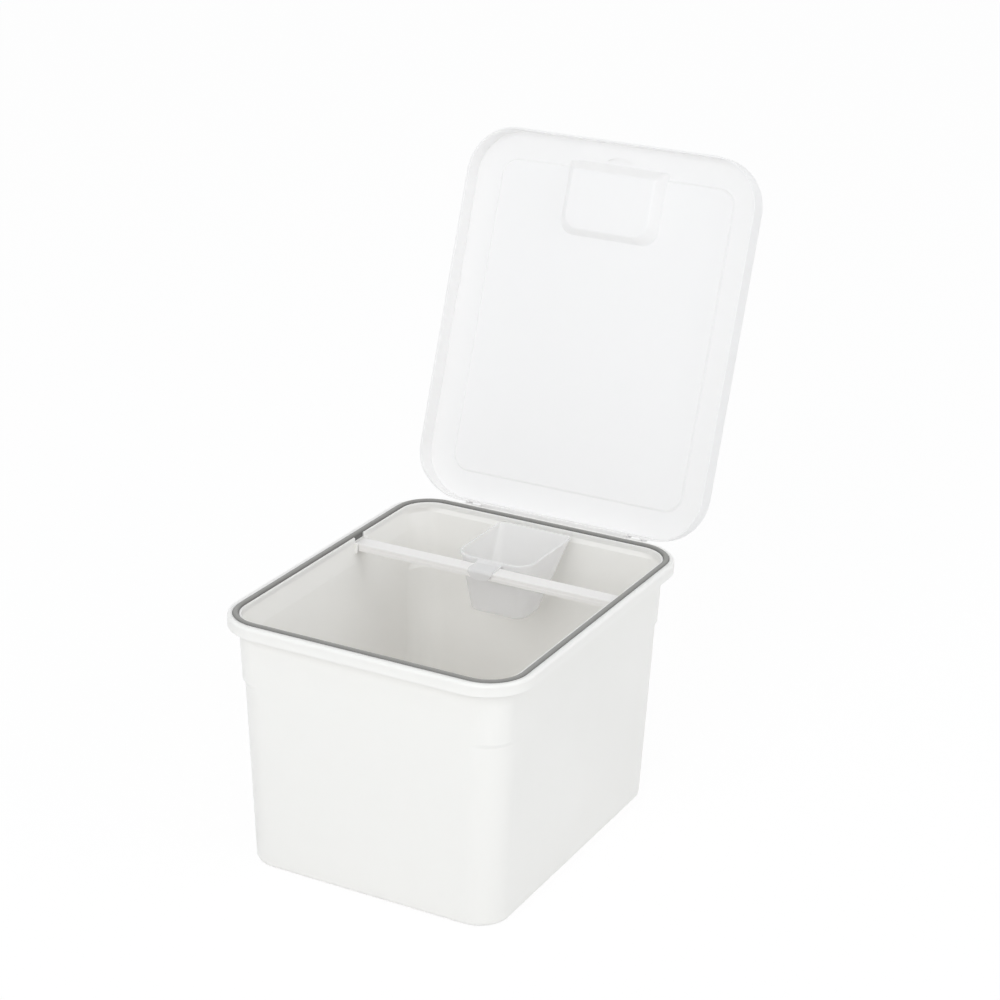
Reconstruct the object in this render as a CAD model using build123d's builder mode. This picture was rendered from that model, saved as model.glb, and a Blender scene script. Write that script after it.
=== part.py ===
"""Rice bin for a kitchen drawer: tub with a seal, hinged lid, levelling bar and measuring cup.

Millimetres. The origin is the centre of the tub's base, +Z is up, and the lid's hinge is at the back (+Y).
The lid is drawn where it lies when closed, on planes that are then swung open about the hinge.
"""

from math import radians, tan
import os

from build123d import *

os.makedirs("parts", exist_ok=True)

# Tub wall
RIM_Z = 211.5               # top of the rim, beside the seal
WALL_HALF_X = 118.6         # outside of the wall, carried on up to the rim's height
WALL_HALF_Y = 145.5
WALL = 2.0
DRAFT = 2.0                 # degrees that each wall leans outwards
LOWER_CORNER = 26.0         # corner radius below the stacking step
UPPER_CORNER = 21.0         # corner radius above it, so that the step shows at the corners alone
STEP_LOW_Z = 154.0
STEP_HIGH_Z = 157.6
BASE_FILLET = 4.0
FLOOR_FILLET = 6.0

# Rim, seal groove and the lip inside it
RIM_HALF_X = 130.0
RIM_HALF_Y = 156.9
RIM_CORNER = 40.0
RIM_SKIRT = 1.8
RIM_SKIRT_Z = 202.0
RIM_PLATE_Z = 205.6         # underside of the rim
RIM_ROUND = 2.4
SEAL_HALF_X = 125.0
SEAL_HALF_Y = 151.8
SEAL_CORNER = 32.0
SEAL_WIDTH = 5.0
SEAL_PROUD = 1.4
SEAL_ROUND = 2.3
GROOVE_Z = 207.2
GROOVE_CLEARANCE = 0.05
LIP = 1.7
LIP_TOP_Z = 211.1
LIP_ROUND = 0.5
FLARE_LOW_Z = 203.0         # at the short walls, the flare that carries the lip starts here
FLARE_HIGH_Z = 206.6
FLARE_OUTER_Z = 200.6
SIDE_FLARE_Z = 190.0        # the long walls lean out from here, to meet the lip flush

# Levelling bar, and the seats for its ends in the two long walls
BAR_Y = 48.0
BAR_WIDTH = 14.0
BAR_TOP_Z = 206.5
BAR_HEIGHT = 6.0
BAR_SKIN = 1.6
BAR_ROUND = 1.0
BEAD = 0.5                  # the lower part of each side stands out by this
BEAD_HEIGHT = 2.6
BEAD_HALF_LENGTH = 114.5
BAR_HALF_LENGTH = 116.0
LUG_HALF_LENGTH = 118.9     # the bar's top runs on into the lip as a lug
LUG = 2.0
SEAT_GAP = 0.3
SEAT_FACE_X = 115.0
SEAT_CHEEK = 2.0            # wall of the seat on each side of the bar
SEAT_TOP_Z = 209.2
SEAT_LOW_Z = 198.2
SEAT_BEVEL = 1.2

# Measuring cup, hung on the bar by its tab
CUP_X = -1.5
CUP_TOP_Z = 210.2
CUP_BASE_Z = 158.0
CUP_WALL = 1.3
CUP_MOUTH = {"half_width": 33.4, "front": 57.4, "back": 139.0, "front_corner": 15.5, "back_corner": 6.0}
CUP_FOOT = {"half_width": 25.5, "front": 67.5, "back": 98.5, "front_corner": 9.5, "back_corner": 8.0}
CUP_FILLET = 4.0
BAND_HEIGHT = 3.0
BAND_PROUD = 0.6
BAND_ROUND = 0.6
TAB = 1.4
TAB_WIDTH = 22.0
TAB_LOW_Z = 199.6
TAB_GAP = 0.15
TAB_BEND = 3.0
TAB_CORNER = 8.0

# Lid
LID_HALF_X = 131.9
LID_HALF_Y = 159.3
LID_CORNER = 41.9
LID_TOP_Z = 214.8           # top of the lid when closed
LID_SKIN = 1.6
LID_SKIRT = 1.3
LID_SKIRT_DEPTH = 19.8
LID_ROUND = 2.4
PANEL_INSET = 24.4          # border between the lid's edge and its sunken panel
PANEL_CORNER = 15.7
PANEL_SINK = 1.6
PANEL_ROUND = 1.0
PANEL_SHIFT = 0.66          # the step's top edge stands inside its lower one by this
GRIP_EDGE = 18.8            # finger recess, measured from the lid's free edge
GRIP_BACK = 82.0
GRIP_HALF_WIDTH = 46.0
GRIP_SLOPE = 7.8
GRIP_BACK_SLOPE = 5.6
GRIP_DEPTH = 11.9           # from the lid's top to the underside of the recess
GRIP_SHIFT = 2.0            # level thickness of the recess's sloping walls
GRIP_ROUND = 2.4
GRIP_EDGE_CORNER = 2.5
GRIP_BACK_CORNER = 13.0
MARK_X = -1.0
MARK_EDGE = 12.4            # small arc pressed in the border, above the finger recess
MARK_HALF_WIDTH = 11.0
MARK_RISE = 3.6
MARK_DEPTH = 0.7

# Hinge
HINGE_Y = 164.7
HINGE_Z = 203.75
HINGE_X = 75.0              # the two hinges stand this far each side of the middle
OPEN_ANGLE = 108.5
PIN_RADIUS = 2.2
PIN_CLEARANCE = 0.06
EAR = 2.6
EAR_GAP = 12.0
EAR_RADIUS = 4.2
EAR_TOP_Z = 213.0
FLANGE = 1.4                # joins the ears, and carries the pin on between them
HEEL_REACH = 7.72           # the heels meet the back of the rim when the lid is open
HEEL_HEIGHT = 5.0
HOOK_WIDTH = 11.4
HOOK_MOUTH = 3.7
HOOK_ARM_TOP_Z = 203.7
HOOK_ARM_LOW_Z = 200.2
BACK_SKIRT_Z = 200.6        # the lid's skirt is shallower at the back, and notched for the hooks
CORNER_SKIRT_Y = 150.0
CORNER_SKIRT_Z = 198.5
FULL_SKIRT_Y = 137.0
HOOK_NOTCH_Z = 204.2

lean_rate = tan(radians(DRAFT))
lip_inset = SEAL_WIDTH + 2 * GROOVE_CLEARANCE + LIP
slot_half_y = BAR_WIDTH / 2 + SEAT_GAP


def rounded(z, half_x, half_y, corner, base=Plane.XY):
    """A rounded rectangle at height z over the base plane."""
    with BuildSketch(base.offset(z)) as outline:
        RectangleRounded(2 * half_x, 2 * half_y, corner)
    return outline.sketch


def wall_section(z, corner, inset=0.0):
    """The outline of the leaning wall at height z, moved inwards by inset."""
    lean = lean_rate * (RIM_Z - z) + inset
    return rounded(z, WALL_HALF_X - lean, WALL_HALF_Y - lean, corner - inset)


def flared_section(z, inset=0.0):
    """The wall's outline above SIDE_FLARE_Z, where the long walls lean out towards the lip."""
    low_half_x = WALL_HALF_X - lean_rate * (RIM_Z - SIDE_FLARE_Z)
    high_half_x = SEAL_HALF_X - lip_inset + WALL
    share = (z - SIDE_FLARE_Z) / (FLARE_HIGH_Z - SIDE_FLARE_Z)
    half_x = low_half_x + share * (high_half_x - low_half_x) - inset
    half_y = WALL_HALF_Y - lean_rate * (RIM_Z - z) - inset
    return rounded(z, half_x, half_y, UPPER_CORNER - inset)


def seal_section(z, inset):
    """The seal's outer outline at height z, moved inwards by inset."""
    return rounded(z, SEAL_HALF_X - inset, SEAL_HALF_Y - inset, SEAL_CORNER - inset)


# The space inside the tub, which is cut from it below
with BuildPart() as inside:
    loft(sections=[wall_section(WALL, LOWER_CORNER, WALL), wall_section(STEP_LOW_Z, LOWER_CORNER, WALL)])
    fillet(inside.faces().sort_by(Axis.Z)[0].edges(), FLOOR_FILLET)
    loft(sections=[wall_section(STEP_LOW_Z, LOWER_CORNER, WALL), wall_section(STEP_HIGH_Z, UPPER_CORNER, WALL)])
    loft(sections=[wall_section(STEP_HIGH_Z, UPPER_CORNER, WALL), wall_section(SIDE_FLARE_Z, UPPER_CORNER, WALL)])
    loft(sections=[wall_section(SIDE_FLARE_Z, UPPER_CORNER, WALL), flared_section(FLARE_LOW_Z, WALL)])
    loft(sections=[flared_section(FLARE_LOW_Z, WALL), seal_section(FLARE_HIGH_Z, lip_inset)])
    extrude(seal_section(FLARE_HIGH_Z, lip_inset), amount=RIM_Z - FLARE_HIGH_Z)

# Seats on the long walls that hold the ends of the bar, kept within the wall's outside
with BuildPart() as seats:
    with BuildSketch(Plane.XZ.offset(-BAR_Y)):
        with BuildLine():
            Polyline(
                (SEAL_HALF_X - lip_inset + LIP / 2, LIP_TOP_Z - LIP_ROUND),
                (SEAT_FACE_X, SEAT_TOP_Z),
                (SEAT_FACE_X, SEAT_LOW_Z + SEAT_BEVEL),
                (SEAT_FACE_X + SEAT_BEVEL, SEAT_LOW_Z),
                (SEAL_HALF_X - lip_inset + LIP / 2, SEAT_LOW_Z),
                close=True,
            )
        make_face()
    extrude(amount=slot_half_y + SEAT_CHEEK, both=True)
    mirror(about=Plane.YZ)
    loft(sections=[flared_section(SEAT_LOW_Z - 1, WALL / 2), flared_section(RIM_Z, WALL / 2)], mode=Mode.INTERSECT)

# Lip between the seal and the mouth, with a rounded top
with BuildPart() as lip:
    with BuildSketch(Plane.XY.offset(GROOVE_Z)):
        add(seal_section(GROOVE_Z, lip_inset - LIP))
        add(seal_section(GROOVE_Z, lip_inset), mode=Mode.SUBTRACT)
    extrude(amount=LIP_TOP_Z - GROOVE_Z)
    fillet(lip.faces().sort_by(Axis.Z)[-1].edges(), LIP_ROUND)

with BuildPart() as tub:
    # Leaning wall with the stacking step
    loft(sections=[wall_section(0, LOWER_CORNER), wall_section(STEP_LOW_Z, LOWER_CORNER)])
    fillet(tub.faces().sort_by(Axis.Z)[0].edges(), BASE_FILLET)
    loft(sections=[wall_section(STEP_LOW_Z, LOWER_CORNER), wall_section(STEP_HIGH_Z, UPPER_CORNER)])
    loft(sections=[wall_section(STEP_HIGH_Z, UPPER_CORNER), wall_section(SIDE_FLARE_Z, UPPER_CORNER)])
    loft(sections=[wall_section(SIDE_FLARE_Z, UPPER_CORNER), flared_section(FLARE_OUTER_Z)])
    loft(sections=[flared_section(FLARE_OUTER_Z), seal_section(RIM_PLATE_Z, lip_inset - WALL)])
    # Rim, with its skirt turned down clear of the wall
    extrude(rounded(RIM_PLATE_Z, RIM_HALF_X, RIM_HALF_Y, RIM_CORNER), amount=RIM_Z - RIM_PLATE_Z)
    fillet(tub.faces().sort_by(Axis.Z)[-1].edges(), RIM_ROUND)
    with BuildSketch(Plane.XY.offset(RIM_SKIRT_Z)):
        RectangleRounded(2 * RIM_HALF_X, 2 * RIM_HALF_Y, RIM_CORNER)
        offset(amount=-RIM_SKIRT, mode=Mode.SUBTRACT)
    extrude(amount=RIM_PLATE_Z - RIM_SKIRT_Z)
    add(inside.part, mode=Mode.SUBTRACT)
    add(seats.part)
    # Groove for the seal, with the lip a little lower than the rim
    extrude(seal_section(GROOVE_Z, 0), amount=RIM_Z - GROOVE_Z, mode=Mode.SUBTRACT)
    add(lip.part)
    # Slots in the seats and the lip take the bar from above, and lay the seal bare over its ends
    for z_low, half_length in ((BAR_TOP_Z - BAR_HEIGHT, BAR_HALF_LENGTH), (BAR_TOP_Z - LUG, LUG_HALF_LENGTH)):
        with BuildSketch(Plane.XY.offset(z_low - SEAT_GAP / 3)):
            with Locations((0, BAR_Y)):
                Rectangle(2 * (half_length + SEAT_GAP), 2 * slot_half_y)
        extrude(amount=RIM_Z - z_low, mode=Mode.SUBTRACT)
    with BuildSketch(Plane.XY.offset(GROOVE_Z)):
        with Locations((0, BAR_Y)):
            Rectangle(2 * (SEAL_HALF_X - GROOVE_CLEARANCE - SEAL_WIDTH), 2 * slot_half_y)
    extrude(amount=RIM_Z - GROOVE_Z, mode=Mode.SUBTRACT)
    # Hooks behind the rim that the lid's pins snap into
    for side in (1, -1):
        with BuildSketch(Plane.YZ.offset(side * HINGE_X)):
            with BuildLine():
                Polyline(
                    (RIM_HALF_Y - RIM_SKIRT, HOOK_ARM_TOP_Z),
                    (HINGE_Y, HOOK_ARM_TOP_Z),
                    (HINGE_Y, HINGE_Z - EAR_RADIUS),
                    (RIM_HALF_Y - RIM_SKIRT, HOOK_ARM_LOW_Z),
                    close=True,
                )
            make_face()
            with Locations((HINGE_Y, HINGE_Z)):
                Circle(EAR_RADIUS)
                Circle(PIN_RADIUS + PIN_CLEARANCE, mode=Mode.SUBTRACT)
                Rectangle(
                    2 * EAR_RADIUS, HOOK_MOUTH, rotation=45, align=(Align.MIN, Align.CENTER), mode=Mode.SUBTRACT
                )
        extrude(amount=HOOK_WIDTH / 2, both=True)

with BuildPart() as rim_seal:
    with BuildSketch(Plane.XY.offset(GROOVE_Z)):
        add(seal_section(GROOVE_Z, GROOVE_CLEARANCE))
        add(seal_section(GROOVE_Z, GROOVE_CLEARANCE + SEAL_WIDTH), mode=Mode.SUBTRACT)
    extrude(amount=RIM_Z + SEAL_PROUD - GROOVE_Z)
    fillet(rim_seal.faces().sort_by(Axis.Z)[-1].edges(), SEAL_ROUND)

with BuildPart() as levelling_bar:
    with BuildSketch(Plane.YZ):
        with Locations((BAR_Y, BAR_TOP_Z - BAR_HEIGHT / 2)):
            Rectangle(BAR_WIDTH, BAR_HEIGHT)
    extrude(amount=BAR_HALF_LENGTH, both=True)
    with BuildSketch(Plane.YZ):
        with Locations((BAR_Y, BAR_TOP_Z - BAR_HEIGHT + BEAD_HEIGHT / 2)):
            Rectangle(BAR_WIDTH + 2 * BEAD, BEAD_HEIGHT)
    extrude(amount=BEAD_HALF_LENGTH, both=True)
    with BuildSketch(Plane.XY.offset(BAR_TOP_Z - LUG)):
        with Locations((0, BAR_Y)):
            Rectangle(2 * LUG_HALF_LENGTH, BAR_WIDTH)
    extrude(amount=LUG)
    fillet(levelling_bar.faces().sort_by(Axis.Z)[-1].edges(), BAR_ROUND)
    # Hollow from below, with closed ends
    with BuildSketch(Plane.XY.offset(BAR_TOP_Z - BAR_HEIGHT)):
        with Locations((0, BAR_Y)):
            Rectangle(2 * (BAR_HALF_LENGTH - BAR_SKIN), BAR_WIDTH - 2 * BAR_SKIN)
    extrude(amount=BAR_HEIGHT - BAR_SKIN, mode=Mode.SUBTRACT)


def cup_section(z, inset=0.0):
    """The cup's outline at height z, between those of its foot and its mouth, moved inwards by inset."""
    share = (z - CUP_BASE_Z) / (CUP_TOP_Z - CUP_BASE_Z)
    size = {name: CUP_FOOT[name] + share * (CUP_MOUTH[name] - CUP_FOOT[name]) for name in CUP_FOOT}
    half_width = size["half_width"] - inset
    front = size["front"] + inset
    back = size["back"] - inset
    with BuildSketch(Plane.XY.offset(z)) as outline:
        with BuildLine():
            Polyline(
                (CUP_X - half_width, front),
                (CUP_X + half_width, front),
                (CUP_X + half_width, back),
                (CUP_X - half_width, back),
                close=True,
            )
        make_face()
        fillet(outline.vertices().group_by(Axis.Y)[0], size["front_corner"] - inset)
        fillet(outline.vertices().group_by(Axis.Y)[-1], size["back_corner"] - inset)
    return outline.sketch


with BuildPart() as cup_space:
    loft(sections=[cup_section(CUP_BASE_Z + CUP_WALL, CUP_WALL), cup_section(CUP_TOP_Z, CUP_WALL)])
    fillet(cup_space.faces().sort_by(Axis.Z)[0].edges(), CUP_FILLET - CUP_WALL)

# Tab that runs from the cup's mouth over the bar and down its front
tab_front = BAR_Y - BAR_WIDTH / 2 - BEAD - TAB_GAP - TAB
tab_low = BAR_TOP_Z + TAB_GAP
with BuildPart() as tab:
    with BuildSketch(Plane.YZ.offset(CUP_X)):
        with BuildLine():
            FilletPolyline(
                (CUP_MOUTH["front"] + CUP_WALL, tab_low),
                (tab_front + TAB, tab_low),
                (tab_front + TAB, TAB_LOW_Z),
                (tab_front, TAB_LOW_Z),
                (tab_front, tab_low + TAB),
                (CUP_MOUTH["front"] - 4, tab_low + TAB),
                (CUP_MOUTH["front"], CUP_TOP_Z - 0.3),
                (CUP_MOUTH["front"] + CUP_WALL, CUP_TOP_Z - 0.3),
                radius=[0, TAB_BEND - TAB, 0, 0, TAB_BEND, 3, 0, 0],
                close=True,
            )
        make_face()
    extrude(amount=TAB_WIDTH, both=True)
    with BuildSketch(Plane.XZ) as tab_front_view:
        with Locations((CUP_X, TAB_LOW_Z)):
            Rectangle(TAB_WIDTH, CUP_TOP_Z - TAB_LOW_Z, align=(Align.CENTER, Align.MIN))
        fillet(tab_front_view.vertices().group_by(Axis.Y)[0], TAB_CORNER)
    extrude(amount=-CUP_MOUTH["back"], mode=Mode.INTERSECT)

# Stiffening band round the mouth
with BuildPart() as band:
    loft(sections=[cup_section(CUP_TOP_Z - BAND_HEIGHT, -BAND_PROUD), cup_section(CUP_TOP_Z, -BAND_PROUD)])
    fillet(band.faces().sort_by(Axis.Z)[-1].edges(), BAND_ROUND)
    fillet(band.faces().sort_by(Axis.Z)[0].edges(), BAND_ROUND / 2)

with BuildPart() as measuring_cup:
    loft(sections=[cup_section(CUP_BASE_Z), cup_section(CUP_TOP_Z)])
    fillet(measuring_cup.faces().sort_by(Axis.Z)[0].edges(), CUP_FILLET)
    add(band.part)
    add(tab.part)
    add(cup_space.part, mode=Mode.SUBTRACT)

# The lid's own frame: coordinates of the closed lid, swung open about the hinge
swing = Pos(0, HINGE_Y, HINGE_Z) * Rot(-OPEN_ANGLE, 0, 0) * Pos(0, -HINGE_Y, -HINGE_Z)
lid_level = Plane(swing)
lid_side = Plane(swing * Plane.YZ.location)


def lid_section(z, inset, corner):
    """A rounded rectangle inside the lid's edge by inset, at the closed lid's height z."""
    return rounded(z, LID_HALF_X - inset, LID_HALF_Y - inset, corner, lid_level)


def grip_section(z, inset=0.0):
    """The finger recess at the closed lid's height z. Its walls close in with depth."""
    share = (LID_TOP_Z - LID_SKIN - z) / (GRIP_DEPTH - LID_SKIN)
    half_width = GRIP_HALF_WIDTH - share * GRIP_SLOPE - inset
    edge = GRIP_EDGE + share * GRIP_SLOPE + inset - LID_HALF_Y
    back = GRIP_BACK - share * GRIP_BACK_SLOPE - inset - LID_HALF_Y
    with BuildSketch(lid_level.offset(z)) as outline:
        with BuildLine():
            Polyline((-half_width, edge), (half_width, edge), (half_width, back), (-half_width, back), close=True)
        make_face()
        fillet(outline.vertices().group_by(Axis.Y)[0], GRIP_EDGE_CORNER)
        fillet(outline.vertices().group_by(Axis.Y)[-1], GRIP_BACK_CORNER)
    return outline.sketch


def panel_section(z, inset):
    """The panel's step at the closed lid's height z, moved inwards by inset."""
    return lid_section(z, PANEL_INSET + inset, PANEL_CORNER - inset)


def sunk(low_section, high_section, edge_round):
    """A sloping-sided solid between two sections, with its lower edge rounded."""
    with BuildPart() as solid:
        loft(sections=[low_section, high_section])
        low_face = solid.faces().sort_by(Axis(lid_level.origin, lid_level.z_dir))[0]
        fillet(low_face.edges(), edge_round)
    return solid.part


under_z = LID_TOP_Z - LID_SKIN
skirt_low_z = LID_TOP_Z - LID_SKIRT_DEPTH
with BuildPart() as lid:
    # Plate and skirt
    extrude(lid_section(skirt_low_z, 0, LID_CORNER), amount=LID_SKIRT_DEPTH)
    fillet(lid.faces().sort_by(Axis(lid_level.origin, lid_level.z_dir))[-1].edges(), LID_ROUND)
    extrude(
        lid_section(skirt_low_z, LID_SKIRT, LID_CORNER - LID_SKIRT),
        amount=LID_SKIRT_DEPTH - LID_SKIN,
        mode=Mode.SUBTRACT,
    )
    # The skirt is cut away at the back, to swing clear of the rim
    with BuildSketch(lid_side):
        with BuildLine():
            Polyline(
                (FULL_SKIRT_Y, skirt_low_z),
                (CORNER_SKIRT_Y, CORNER_SKIRT_Z),
                (LID_HALF_Y - LID_SKIRT, BACK_SKIRT_Z),
                (LID_HALF_Y + 1, BACK_SKIRT_Z),
                (LID_HALF_Y + 1, skirt_low_z - 1),
                (FULL_SKIRT_Y, skirt_low_z - 1),
                close=True,
            )
        make_face()
    extrude(amount=LID_HALF_X + 1, both=True, mode=Mode.SUBTRACT)
    with BuildSketch(lid_level.offset(skirt_low_z)):
        with Locations((HINGE_X, LID_HALF_Y), (-HINGE_X, LID_HALF_Y)):
            Rectangle(EAR_GAP, 4 * LID_SKIRT)
    extrude(amount=HOOK_NOTCH_Z - skirt_low_z, mode=Mode.SUBTRACT)
    # Sunken panel and finger recess, first their undersides and then the hollows above
    add(sunk(panel_section(under_z - PANEL_SINK, PANEL_SINK), panel_section(under_z, 0), PANEL_ROUND))
    add(sunk(grip_section(LID_TOP_Z - GRIP_DEPTH), grip_section(under_z), GRIP_ROUND))
    panel_low = panel_section(LID_TOP_Z - PANEL_SINK, PANEL_SINK + PANEL_SHIFT)
    panel_high = panel_section(LID_TOP_Z, PANEL_SHIFT)
    add(sunk(panel_low, panel_high, PANEL_ROUND), mode=Mode.SUBTRACT)
    grip_low = grip_section(LID_TOP_Z - GRIP_DEPTH + LID_SKIN, GRIP_SHIFT)
    grip_high = grip_section(LID_TOP_Z, GRIP_SHIFT)
    add(sunk(grip_low, grip_high, GRIP_ROUND / 2), mode=Mode.SUBTRACT)
    # Small arc pressed in the underside of the border
    with BuildSketch(lid_level.offset(under_z)):
        with BuildLine():
            mark_y = MARK_EDGE + MARK_RISE - LID_HALF_Y
            mark_ends = ((MARK_X - MARK_HALF_WIDTH, mark_y), (MARK_X + MARK_HALF_WIDTH, mark_y))
            ThreePointArc(mark_ends[0], (MARK_X, mark_y - MARK_RISE), mark_ends[1])
            ThreePointArc(mark_ends[0], (MARK_X, mark_y - MARK_RISE / 2), mark_ends[1])
        make_face()
    extrude(amount=MARK_DEPTH, mode=Mode.SUBTRACT)
    # Ears that carry the hinge pins. A heel on each ear meets the rim when the lid is open
    for side in (1, -1):
        for ear_x in (side * HINGE_X - EAR_GAP / 2 - EAR / 2, side * HINGE_X + EAR_GAP / 2 + EAR / 2):
            with BuildSketch(lid_side.offset(ear_x)):
                with BuildLine():
                    Polyline(
                        (LID_HALF_Y - LID_SKIRT, EAR_TOP_Z),
                        (LID_HALF_Y - LID_SKIRT, BACK_SKIRT_Z),
                        (HINGE_Y - EAR_RADIUS, HINGE_Z),
                        (HINGE_Y + EAR_RADIUS, HINGE_Z),
                        (LID_HALF_Y, EAR_TOP_Z),
                        close=True,
                    )
                make_face()
                with Locations((HINGE_Y, HINGE_Z)):
                    Circle(EAR_RADIUS)
            extrude(amount=EAR / 2, both=True)
            with BuildSketch(Plane.YZ.offset(ear_x)):
                with Locations((HINGE_Y, HINGE_Z)):
                    Rectangle(HEEL_REACH, HEEL_HEIGHT, align=(Align.MAX, Align.MAX))
            extrude(amount=EAR / 2, both=True)
        with BuildSketch(Plane.YZ.offset(side * HINGE_X)):
            with Locations((HINGE_Y, HINGE_Z)):
                Circle(PIN_RADIUS)
        extrude(amount=EAR_GAP / 2, both=True)
    # Flange that joins the ears to the skirt, with the pin carried on along its edge
    with BuildSketch(lid_side):
        with Locations((HINGE_Y, HINGE_Z)):
            Circle(PIN_RADIUS)
            Rectangle(HINGE_Y - LID_HALF_Y + LID_SKIRT / 2, FLANGE, align=(Align.MAX, Align.CENTER))
    extrude(amount=HINGE_X - EAR_GAP / 2 - EAR / 2, both=True)

for name, piece in {
    "tub": tub.part,
    "rim_seal": rim_seal.part,
    "lid": lid.part,
    "levelling_bar": levelling_bar.part,
    "measuring_cup": measuring_cup.part,
}.items():
    piece.label = name
    export_step(piece, f"parts/{name}.step")
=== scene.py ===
# %% [markdown]
# # A rice bin with its lid open
# The object is a moulded kitchen bin: a tub with a grey seal in its rim, a lid that leans back on
# its hinge, a bar across the mouth, and a measuring cup hung on the bar. The imported CAD model
# gives every rigid shape in real metres. This lesson adds what CAD leaves out: plastic that
# catches the light, a seal whose top is lightened with painted top light, a cup that the tub
# shows through, and a plain studio.
#
# The first step loads the model. Its pieces sit where they belong, so nothing has to be fitted.

# %% Load the model
from math import cos, radians, sin

import bmesh
import bpy
from mathutils import Matrix, Vector


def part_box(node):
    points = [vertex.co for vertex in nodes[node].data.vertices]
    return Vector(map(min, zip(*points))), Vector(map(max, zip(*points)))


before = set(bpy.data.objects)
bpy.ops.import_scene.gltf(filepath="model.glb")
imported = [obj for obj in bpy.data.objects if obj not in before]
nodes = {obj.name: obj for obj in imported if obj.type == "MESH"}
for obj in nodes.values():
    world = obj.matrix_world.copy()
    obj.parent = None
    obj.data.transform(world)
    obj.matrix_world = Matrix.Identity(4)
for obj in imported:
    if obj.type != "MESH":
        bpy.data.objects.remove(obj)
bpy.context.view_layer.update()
for name in sorted(nodes):
    low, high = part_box(name)
    print(name, "is", [round(1000 * (h - l), 1) for l, h in zip(low, high)], "mm")

# %% [markdown]
# ## The camera
# The photograph was taken from the front right, a little above the bin, with a long lens. A long
# lens keeps the walls nearly parallel, as a product photographer wants them. The camera is placed
# by where it stands and by three angles: round the object, up from the floor, and a slight roll of
# the camera itself. Its axes come from those angles, which is easier to check than a tracking
# constraint.

# %% Place the camera
AZIMUTH = radians(27.65)
ELEVATION = radians(21.22)
ROLL = radians(1.37)
EYE = Vector((0.8910, -1.6318, 1.0045))
FOCAL_LENGTH = 92.62  # mm, on a sensor of the width below
SENSOR_WIDTH = 36

flat_reach = cos(ELEVATION)
behind = Vector((sin(AZIMUTH) * flat_reach, -cos(AZIMUTH) * flat_reach, sin(ELEVATION)))
level_right = Vector((cos(AZIMUTH), sin(AZIMUTH), 0))
upright = behind.cross(level_right)
camera_right = cos(ROLL) * level_right + sin(ROLL) * upright
camera_up = cos(ROLL) * upright - sin(ROLL) * level_right
turned = Matrix((camera_right, camera_up, behind)).transposed().to_4x4()

camera = bpy.data.objects.new("camera", bpy.data.cameras.new("camera"))
camera.data.sensor_width = SENSOR_WIDTH
camera.data.lens = FOCAL_LENGTH
camera.matrix_world = Matrix.Translation(EYE) @ turned
bpy.context.scene.collection.objects.link(camera)
bpy.context.scene.camera = camera
print("camera stands", round(EYE.length, 2), "m from the middle of the bin's base")

# %% [markdown]
# ## The studio
# White plastic on a white ground shows its form only through small differences of light. Most of
# the light is a pale sky from all round, which fills the tub softly. A large lamp in front, a
# third of the way up, reaches over the rim to the cup and the back wall, and a weaker one lights
# the right side. The colours come out about as they are written, because the view transform is
# Standard and the lamps and the sky add up to plain daylight level.
#
# The camera should see pure white behind the bin. More lamp would burn out the bin as well, so the
# white comes from a Light Path node: rays that reach the camera, a mirror or a clear wall see
# white, and the rays that light the bin see the true sky and floor.

# %% Tell the rays apart
def seen_directly(tree):
    """One where a ray comes from the camera, a reflection or a clear wall, and nought elsewhere."""
    path = tree.nodes.new("ShaderNodeLightPath")
    total = path.outputs["Is Camera Ray"]
    for kind in ("Is Glossy Ray", "Is Transmission Ray"):
        add = tree.nodes.new("ShaderNodeMath")
        add.operation = "MAXIMUM"
        tree.links.new(total, add.inputs[0])
        tree.links.new(path.outputs[kind], add.inputs[1])
        total = add.outputs[0]
    return total


def choose_by_ray(tree, lighting, shown, output_kind):
    """Sends one shader to the rays that light the bin, and another to those that look at it."""
    choose = tree.nodes.new("ShaderNodeMixShader")
    tree.links.new(seen_directly(tree), choose.inputs["Fac"])
    tree.links.new(lighting.outputs[0], choose.inputs[1])
    tree.links.new(shown.outputs[0], choose.inputs[2])
    output = tree.nodes.new(output_kind)
    tree.links.new(choose.outputs[0], output.inputs["Surface"])


print("one ray test serves the sky and the floor")

# %% Make the sky
SKY_LEVEL = 0.75
SKY_COLOUR = (0.98, 0.988, 1.0, 1)
WHITE = (1, 1, 1, 1)


def background(tree, colour, strength):
    """A Background node of one colour."""
    node = tree.nodes.new("ShaderNodeBackground")
    node.inputs["Color"].default_value = colour
    node.inputs["Strength"].default_value = strength
    return node


scene = bpy.context.scene
scene.view_settings.view_transform = "Standard"
world = bpy.data.worlds.new("studio sky")
world.use_nodes = True
scene.world = world
sky = world.node_tree
sky.nodes.clear()
pale_sky = background(sky, SKY_COLOUR, SKY_LEVEL)
white_ground = background(sky, WHITE, 1)
choose_by_ray(sky, pale_sky, white_ground, "ShaderNodeOutputWorld")
print("sky", SKY_LEVEL)

# %% Hang the lamps
LAMP_SIZE = 1.2
LAMP_DISTANCE = 2.6
LAMP_HEIGHT_ANGLE = radians(30)
LAMP_AIM = Vector((0, 0, 0.15))
# each lamp's bearing from the front, and its watts
LAMPS = {"front lamp": (radians(5), 13.9), "side lamp": (radians(90), 7.3)}

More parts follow.
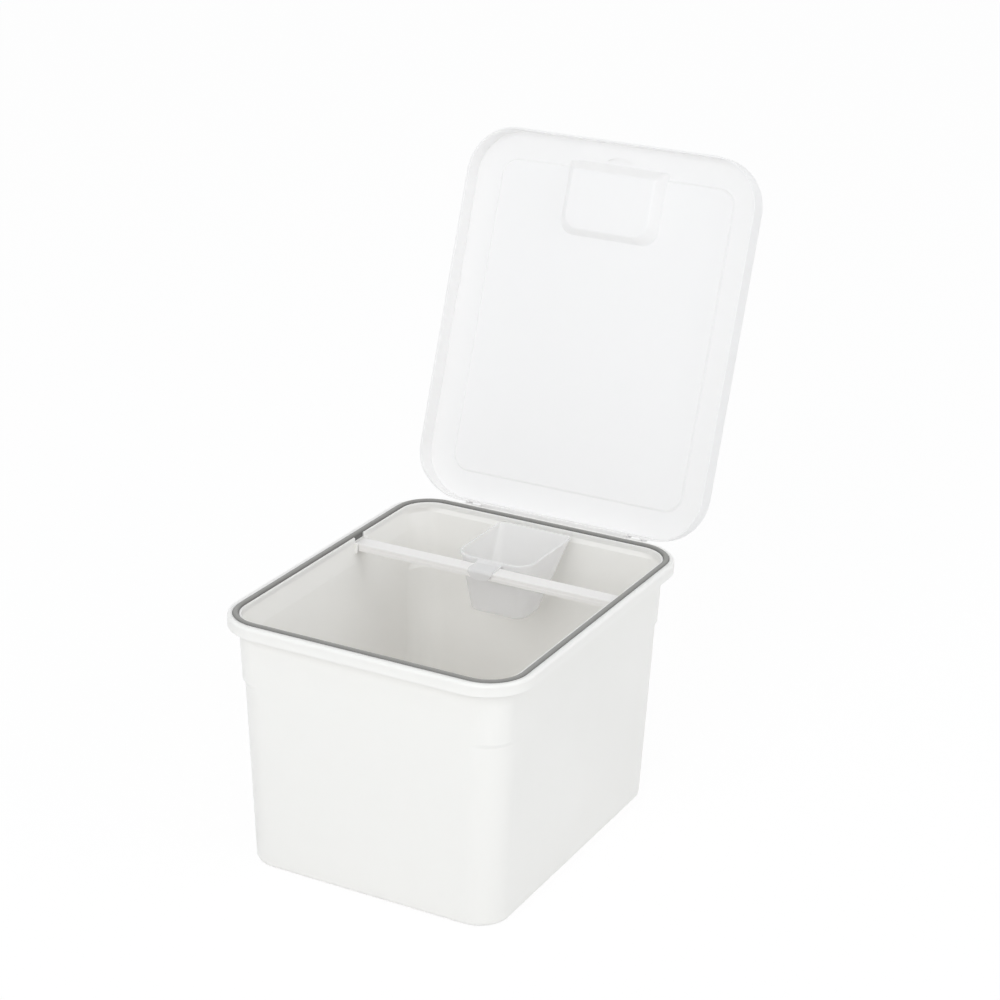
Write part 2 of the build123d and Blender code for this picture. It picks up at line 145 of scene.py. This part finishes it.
for name, (bearing, watts) in LAMPS.items():
    lamp = bpy.data.objects.new(name, bpy.data.lights.new(name, "AREA"))
    lamp.data.shape = "SQUARE"
    lamp.data.size = LAMP_SIZE
    lamp.data.energy = watts
    level = cos(LAMP_HEIGHT_ANGLE)
    towards_lamp = Vector((sin(bearing) * level, -cos(bearing) * level, sin(LAMP_HEIGHT_ANGLE)))
    lamp.location = LAMP_AIM + LAMP_DISTANCE * towards_lamp
    lamp.rotation_euler = towards_lamp.to_track_quat("Z", "Y").to_euler()
    scene.collection.objects.link(lamp)
    print(name, watts, "W")

# %% [markdown]
# ## The floor
# The bin stands on a plain pale floor. A grid from one bmesh operator is enough. Its material mixes
# a little ordinary white paint, which takes the bin's shadow, into the white that the camera sees.

# %% Lay the floor
FLOOR_HALF_WIDTH = 6

mesh = bpy.data.meshes.new("floor")
bm = bmesh.new()
bmesh.ops.create_grid(bm, x_segments=1, y_segments=1, size=FLOOR_HALF_WIDTH)
bm.to_mesh(mesh)
bm.free()
floor = bpy.data.objects.new("floor", mesh)
scene.collection.objects.link(floor)
print("floor", round(floor.dimensions.x, 1), "m wide")

# %% Paint the floor
PAINT_COLOUR = (0.93, 0.93, 0.93, 1)
GLOW_STRENGTH = 1.02
SHADOW_SHARE = 0.11

paper = bpy.data.materials.new("white floor")
paper.use_nodes = True
tree = paper.node_tree
tree.nodes.clear()
paint = tree.nodes.new("ShaderNodeBsdfDiffuse")
paint.inputs["Color"].default_value = PAINT_COLOUR
glow = tree.nodes.new("ShaderNodeEmission")
glow.inputs["Strength"].default_value = GLOW_STRENGTH
shadowed = tree.nodes.new("ShaderNodeMixShader")
shadowed.inputs["Fac"].default_value = SHADOW_SHARE
tree.links.new(glow.outputs[0], shadowed.inputs[1])
tree.links.new(paint.outputs[0], shadowed.inputs[2])
choose_by_ray(tree, paint, shadowed, "ShaderNodeOutputMaterial")
floor.data.materials.append(paper)
print("the floor keeps", SHADOW_SHARE, "of the shadow")

# %% [markdown]
# ## Moulded plastic
# The tub, bar, lid and cup are all injection moulded. The steel of the mould is finished with a
# fine even texture, which leaves the plastic satin, and the melt cools a little unevenly, which
# shows as a faint change of gloss over a few centimetres. Both belong to every moulded piece, so
# they are one node group with its own inputs, placed in each material with that material's values.
# The group puts out numbers only, and each material keeps its own shader.

# %% Make the helpers for a group
def new_group(name, inputs, outputs):
    """A shader node group with the named sockets. Inputs are pairs of a name and a default."""
    group = bpy.data.node_groups.new(name, "ShaderNodeTree")
    for label, value in inputs:
        socket = group.interface.new_socket(label, in_out="INPUT", socket_type="NodeSocketFloat")
        socket.default_value = value
    for label in outputs:
        group.interface.new_socket(label, in_out="OUTPUT", socket_type="NodeSocketFloat")
    return group, group.nodes.new("NodeGroupInput"), group.nodes.new("NodeGroupOutput")


def noise(tree, scale, detail=2.0):
    """A noise texture on object coordinates. The scale is in waves per metre."""
    place = tree.nodes.new("ShaderNodeTexCoord")
    texture = tree.nodes.new("ShaderNodeTexNoise")
    texture.inputs["Detail"].default_value = detail
    tree.links.new(place.outputs["Object"], texture.inputs["Vector"])
    if isinstance(scale, (int, float)):
        texture.inputs["Scale"].default_value = scale
    else:
        tree.links.new(scale, texture.inputs["Scale"])
    return texture.outputs["Fac"]


print("a scale is a number or another node's socket")

# %% Build the moulded skin group
NOISE_LOW, NOISE_HIGH = 0.3, 0.7  # nearly all of a noise texture's values lie between these
GRAIN_DETAIL = 4.0

skin, skin_in, skin_out = new_group(
    "moulded skin",
    [
        ("Grain per metre", 1400.0),
        ("Cooling per metre", 22.0),
        ("Smoothest", 0.34),
        ("Dullest", 0.46),
    ],
    ["Roughness", "Grain"],
)
spread = skin.nodes.new("ShaderNodeMapRange")
spread.inputs["From Min"].default_value = NOISE_LOW
spread.inputs["From Max"].default_value = NOISE_HIGH
skin.links.new(noise(skin, skin_in.outputs["Cooling per metre"]), spread.inputs["Value"])
skin.links.new(skin_in.outputs["Smoothest"], spread.inputs["To Min"])
skin.links.new(skin_in.outputs["Dullest"], spread.inputs["To Max"])
skin.links.new(spread.outputs["Result"], skin_out.inputs["Roughness"])
grain = noise(skin, skin_in.outputs["Grain per metre"], GRAIN_DETAIL)
skin.links.new(grain, skin_out.inputs["Grain"])
print("moulded skin has", len(skin.nodes), "nodes")

# %% Make a moulded material
PLASTIC_IOR = 1.49


def moulded(name, colour, grain, cooling, roughness, relief):
    """A plastic with the moulded skin. The relief is the height of the grain in metres."""
    material = bpy.data.materials.new(name)
    material.use_nodes = True
    tree = material.node_tree
    shader = tree.nodes["Principled BSDF"]
    shader.inputs["Base Color"].default_value = (*colour, 1)
    shader.inputs["IOR"].default_value = PLASTIC_IOR
    use = tree.nodes.new("ShaderNodeGroup")
    use.node_tree = skin
    use.inputs["Grain per metre"].default_value = grain
    use.inputs["Cooling per metre"].default_value = cooling
    use.inputs["Smoothest"].default_value = roughness[0]
    use.inputs["Dullest"].default_value = roughness[1]
    bump = tree.nodes.new("ShaderNodeBump")
    bump.inputs["Strength"].default_value = 1
    bump.inputs["Distance"].default_value = relief
    tree.links.new(use.outputs["Roughness"], shader.inputs["Roughness"])
    tree.links.new(use.outputs["Grain"], bump.inputs["Height"])
    tree.links.new(bump.outputs["Normal"], shader.inputs["Normal"])
    print(name, "made")
    return material, shader


def milky(shader, reach, weight=1.0):
    """Lets light into the plastic, where it spreads as far as the reach, in metres."""
    shader.inputs["Subsurface Weight"].default_value = weight
    shader.inputs["Subsurface Radius"].default_value = (1, 1, 1)
    shader.inputs["Subsurface Scale"].default_value = reach


def dress(node, material):
    """Gives a CAD node a new finish in each of its material slots."""
    for slot in node.material_slots:
        slot.material = material


# %% [markdown]
# ## The tub, the bar and the lid
# The tub and its bar are opaque white polypropylene with a trace of ivory. Light bounces many
# times inside the tub, so the trace deepens there to a warm grey, while the outside stays white.
# The lid is thinner and slightly milky, so it is the brightest of the three.

# %% Dress the tub
white_plastic, white_shader = moulded(
    "white polypropylene",
    colour=(0.943, 0.924, 0.894),
    grain=1400,
    cooling=22,
    roughness=(0.36, 0.46),
    relief=0.00003,
)
milky(white_shader, reach=0.002)
dress(nodes["tub"], white_plastic)

# %% Dress the bar
bar_plastic, bar_shader = moulded(
    "white bar plastic",
    colour=(0.90, 0.89, 0.875),
    grain=1400,
    cooling=30,
    roughness=(0.34, 0.42),
    relief=0.00002,
)
dress(nodes["levelling_bar"], bar_plastic)

# %% Dress the lid
lid_plastic, lid_shader = moulded(
    "milky lid plastic",
    colour=(0.996, 0.99, 0.982),
    grain=1600,
    cooling=18,
    roughness=(0.38, 0.48),
    relief=0.00002,
)
milky(lid_shader, reach=0.003)
dress(nodes["lid"], lid_plastic)

# %% [markdown]
# ## The measuring cup
# The cup is natural polypropylene, which is milky and lets some light straight through, so the tub
# behind it shows as soft grey. Two numbers give that: light scatters inside the wall, and a part
# of the wall is left open by its Alpha.

# %% Dress the cup
CUP_ALPHA = 0.5

cup_plastic, cup_shader = moulded(
    "natural polypropylene",
    colour=(0.97, 0.97, 0.97),
    grain=1800,
    cooling=40,
    roughness=(0.30, 0.40),
    relief=0.00002,
)
milky(cup_shader, reach=0.0025, weight=0.3)
cup_shader.inputs["Alpha"].default_value = CUP_ALPHA
dress(nodes["measuring_cup"], cup_plastic)

# %% [markdown]
# ## The seal
# The seal is dark silicone. Its colour is lightened where the rubber faces up, as painted top light
# and sheen, and stays dark on its sides, so the bead runs from pale on top to dark below, and that
# is what makes it look round. The upward part of the normal is the mask of this painted light,
# broken up by a little noise.

# %% Make the mask of painted top light
TOP_LIGHT_FROM_SLOPE = 0.15  # upward part of the normal at which the painted top light begins
FAINTEST_TOP_LIGHT = 0.75
TOP_LIGHT_NOISE_PER_METRE = 90.0
TOP_LIGHT_NOISE_DETAIL = 3.0


def painted_top_light_mask(tree):
    """How much painted top light the surface gets, from nought to one."""
    place = tree.nodes.new("ShaderNodeTexCoord")
    split = tree.nodes.new("ShaderNodeSeparateXYZ")
    tree.links.new(place.outputs["Normal"], split.inputs["Vector"])
    facing_up = tree.nodes.new("ShaderNodeMapRange")
    facing_up.inputs["From Min"].default_value = TOP_LIGHT_FROM_SLOPE
    tree.links.new(split.outputs["Z"], facing_up.inputs["Value"])
    patchy = tree.nodes.new("ShaderNodeMapRange")
    patchy.inputs["To Min"].default_value = FAINTEST_TOP_LIGHT
    tree.links.new(noise(tree, TOP_LIGHT_NOISE_PER_METRE, TOP_LIGHT_NOISE_DETAIL), patchy.inputs["Value"])
    share = tree.nodes.new("ShaderNodeMath")
    share.operation = "MULTIPLY"
    tree.links.new(facing_up.outputs["Result"], share.inputs[0])
    tree.links.new(patchy.outputs["Result"], share.inputs[1])
    return share.outputs[0]


# the painted top light begins at this upward part of the normal
print("dust begins where the normal's upward part is", TOP_LIGHT_FROM_SLOPE)

# %% Dress the seal
RUBBER = (0.125, 0.125, 0.12)
# the second colour is painted top light for the seal's upward faces, not a colour of the rubber
TOP_LIT_RUBBER = (0.32, 0.32, 0.305)

seal_rubber, seal_shader = moulded(
    "dark silicone",
    colour=RUBBER,
    grain=2600,
    cooling=60,
    roughness=(0.38, 0.50),
    relief=0.00002,
)
tree = seal_rubber.node_tree
# painted top light: the base colour turns paler where the seal faces up
top_light_mix = tree.nodes.new("ShaderNodeMix")
top_light_mix.data_type = "RGBA"
factor, side_colour, top_colour = [socket for socket in top_light_mix.inputs if socket.enabled]
side_colour.default_value = (*RUBBER, 1)
top_colour.default_value = (*TOP_LIT_RUBBER, 1)
tree.links.new(painted_top_light_mask(tree), factor)
mixed = [socket for socket in top_light_mix.outputs if socket.enabled][0]
tree.links.new(mixed, seal_shader.inputs["Base Color"])
dress(nodes["rim_seal"], seal_rubber)
print("seal from", RUBBER, "to", TOP_LIT_RUBBER)
